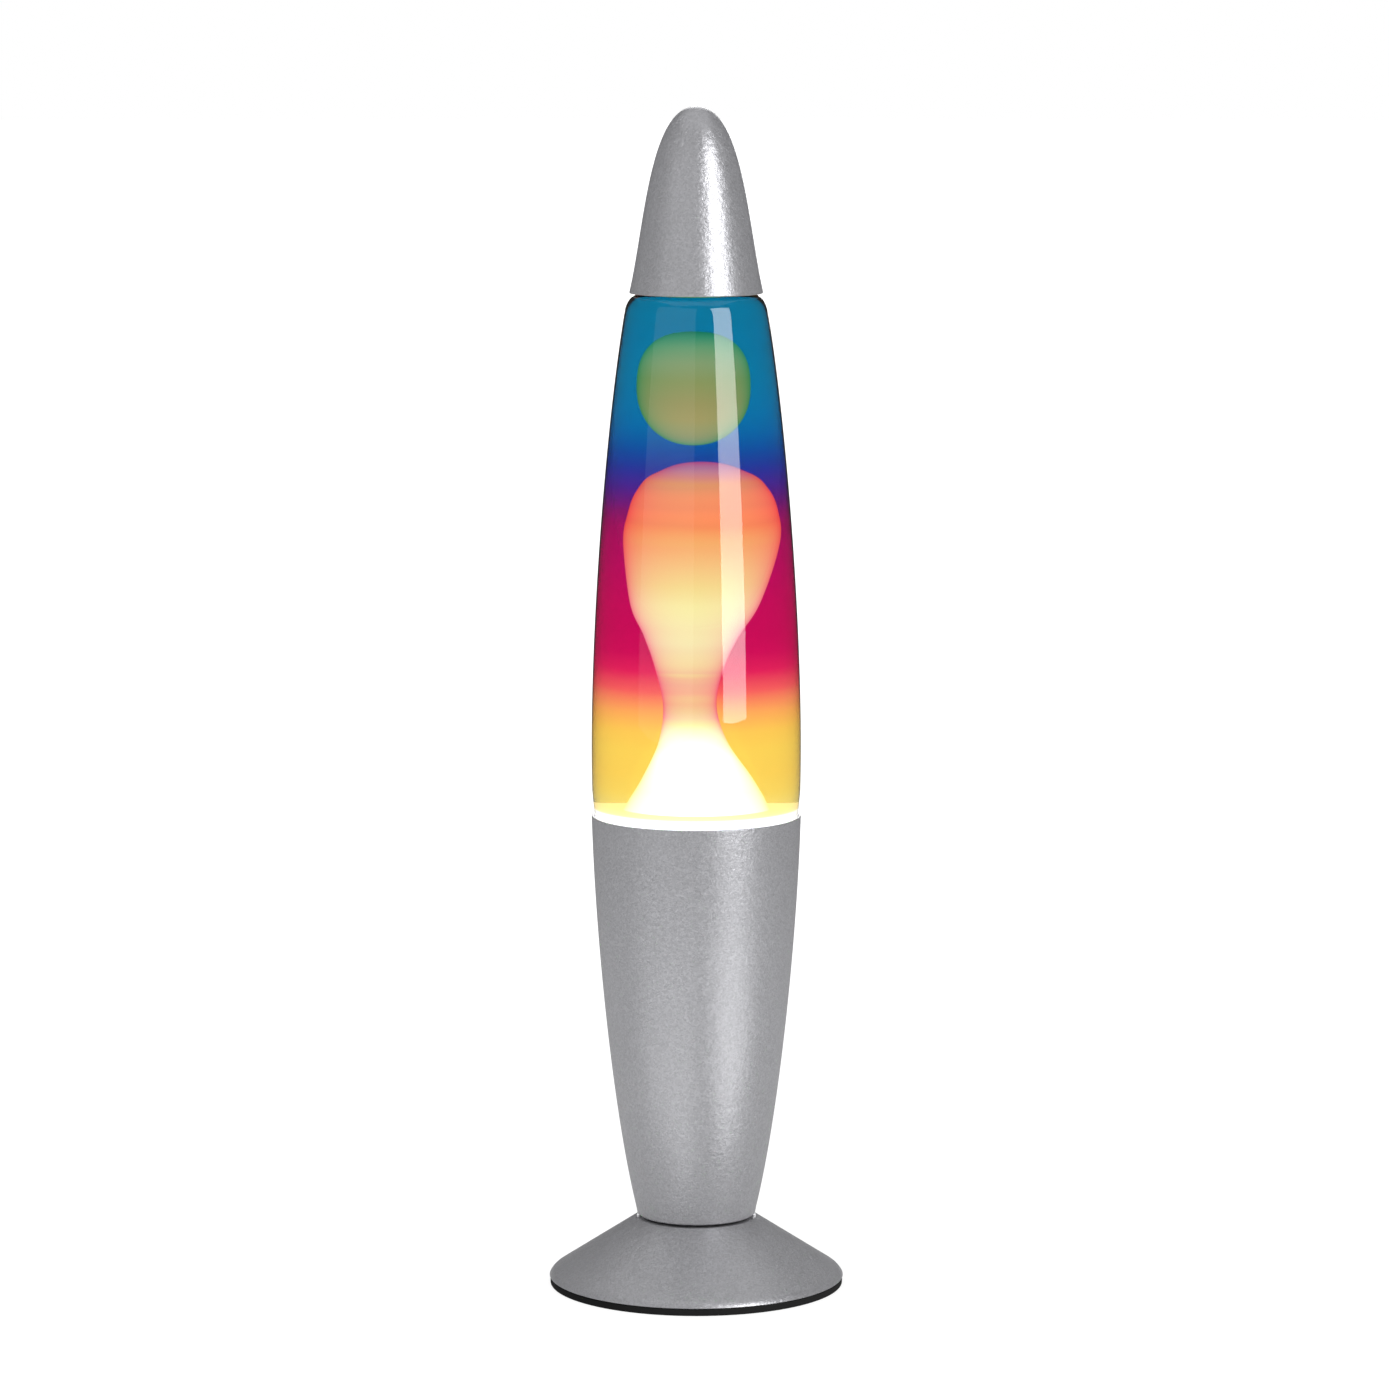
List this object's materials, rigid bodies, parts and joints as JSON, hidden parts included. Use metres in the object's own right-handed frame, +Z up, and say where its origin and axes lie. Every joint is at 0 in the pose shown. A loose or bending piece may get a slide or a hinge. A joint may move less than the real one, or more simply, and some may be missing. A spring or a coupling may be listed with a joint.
{
  "type": "lava lamp",
  "caption": "Upright liquid-motion lamp: glass bottle of coloured wax in a tapered metal cup on a conical foot, with a bullet-shaped lift-off cap.",
  "frame": {"origin": "on the table, at the middle of the foot's underside", "axes": "+Z up along the lamp's axis; the cord outlet in the foot faces +Y, the back"},
  "size_m": [0.1002, 0.1002, 0.4],
  "materials": {
    "flake_silver": "fine metallic flake lacquer on spun aluminium",
    "zinc_steel": "zinc plated, plain",
    "brass": "bare brass, turned or stamped",
    "black_moulding": "moulded, satin",
    "foam_black": "closed-cell foam sheet",
    "silicone_dark": "moulded silicone",
    "steatite": "pressed ceramic, unglazed",
    "bottle_glass": "clear blown glass",
    "bulb_glass": "clear glass, silvered cone inside, frosted face",
    "liquid": "clear liquid, lit blue at the top, crimson and amber below",
    "wax_warm": "glowing melted wax, orange to pale yellow",
    "wax_green": "glowing melted wax, green to olive",
    "tinplate_gold": "gold lacquered tinplate",
    "liner_white": "moulded polyethylene",
    "bulb_cap_metal": "formed aluminium shell",
    "solder": "dull solder",
    "tungsten": "drawn wire",
    "sleeve_brown": "silicone sleeve",
    "sleeve_blue": "silicone sleeve",
    "sleeve_green": "silicone sleeve, green and yellow",
    "block_nylon": "moulded nylon"
  },
  "bodies": {
    "base": {"block_screw_earth_1": "brass", "block_screw_earth_2": "brass", "block_screw_live_1": "brass", "block_screw_live_2": "brass", "block_screw_neutral_1": "brass", "block_screw_neutral_2": "brass", "bottle_seat": "silicone_dark", "bottom_plate": "zinc_steel", "bracket": "zinc_steel", "cord_gland": "black_moulding", "cup": "flake_silver", "earth_screw": "zinc_steel", "earth_tag": "brass", "foot_cone": "flake_silver", "foot_pad": "foam_black", "holder_dome": "black_moulding", "holder_insert": "steatite", "holder_sleeve": "black_moulding", "lead_earth": "sleeve_green", "lead_live": "sleeve_brown", "lead_neutral": "sleeve_blue", "lower_nut": "zinc_steel", "lower_washer": "zinc_steel", "plate_screw_1": "zinc_steel", "plate_screw_2": "zinc_steel", "socket_contact": "brass", "socket_shell": "brass", "spacer_ring": "black_moulding", "terminal_block": "block_nylon", "terminal_screw_live": "brass", "terminal_screw_neutral": "brass", "threaded_tube": "zinc_steel", "upper_nut": "zinc_steel", "upper_washer": "zinc_steel"},
    "bulb_tip": {"bulb_contact": "solder"},
    "bulb": {"bulb_glass": "bulb_glass", "bulb_cap": "bulb_cap_metal", "bulb_insulator": "black_moulding", "bulb_stem": "bulb_glass", "bulb_lead_a": "tungsten", "bulb_lead_b": "tungsten", "bulb_filament": "tungsten"},
    "bottle": {"bottle_glass": "bottle_glass", "crown_closure": "tinplate_gold", "closure_liner": "liner_white", "liquid": "liquid", "wax_column": "wax_warm", "wire_coil": "zinc_steel"},
    "wax_blob": {"wax_ball": "wax_green"},
    "cap": {"nose_cap": "flake_silver", "cap_ring": "silicone_dark"}
  },
  "joints": [
    {"name": "bottle_lift", "type": "slide", "parent": "base", "child": "bottle", "axis": [0, 0, 1], "range_m": [0, 0.06]},
    {"name": "cap_lift", "type": "slide", "parent": "bottle", "child": "cap", "axis": [0, 0, 1], "range_m": [0, 0.045]},
    {"name": "wax_drift", "type": "slide", "parent": "bottle", "child": "wax_blob", "axis": [0, 0, 1], "range_m": [-0.0035, 0.008]},
    {"name": "bulb_rise", "type": "slide", "parent": "base", "child": "bulb_tip", "axis": [0, 0, 1], "range_m": [0, 0.0086]},
    {"name": "bulb_turn", "type": "hinge", "parent": "bulb_tip", "child": "bulb", "pos_m": [0, 0, 0.05], "axis": [0, 0, 1], "range_deg": [0, 1080]}
  ],
  "couplings": [
    {"joint": "bulb_rise", "follows": "bulb_turn", "m_per_rad": 0.00044882}
  ]
}
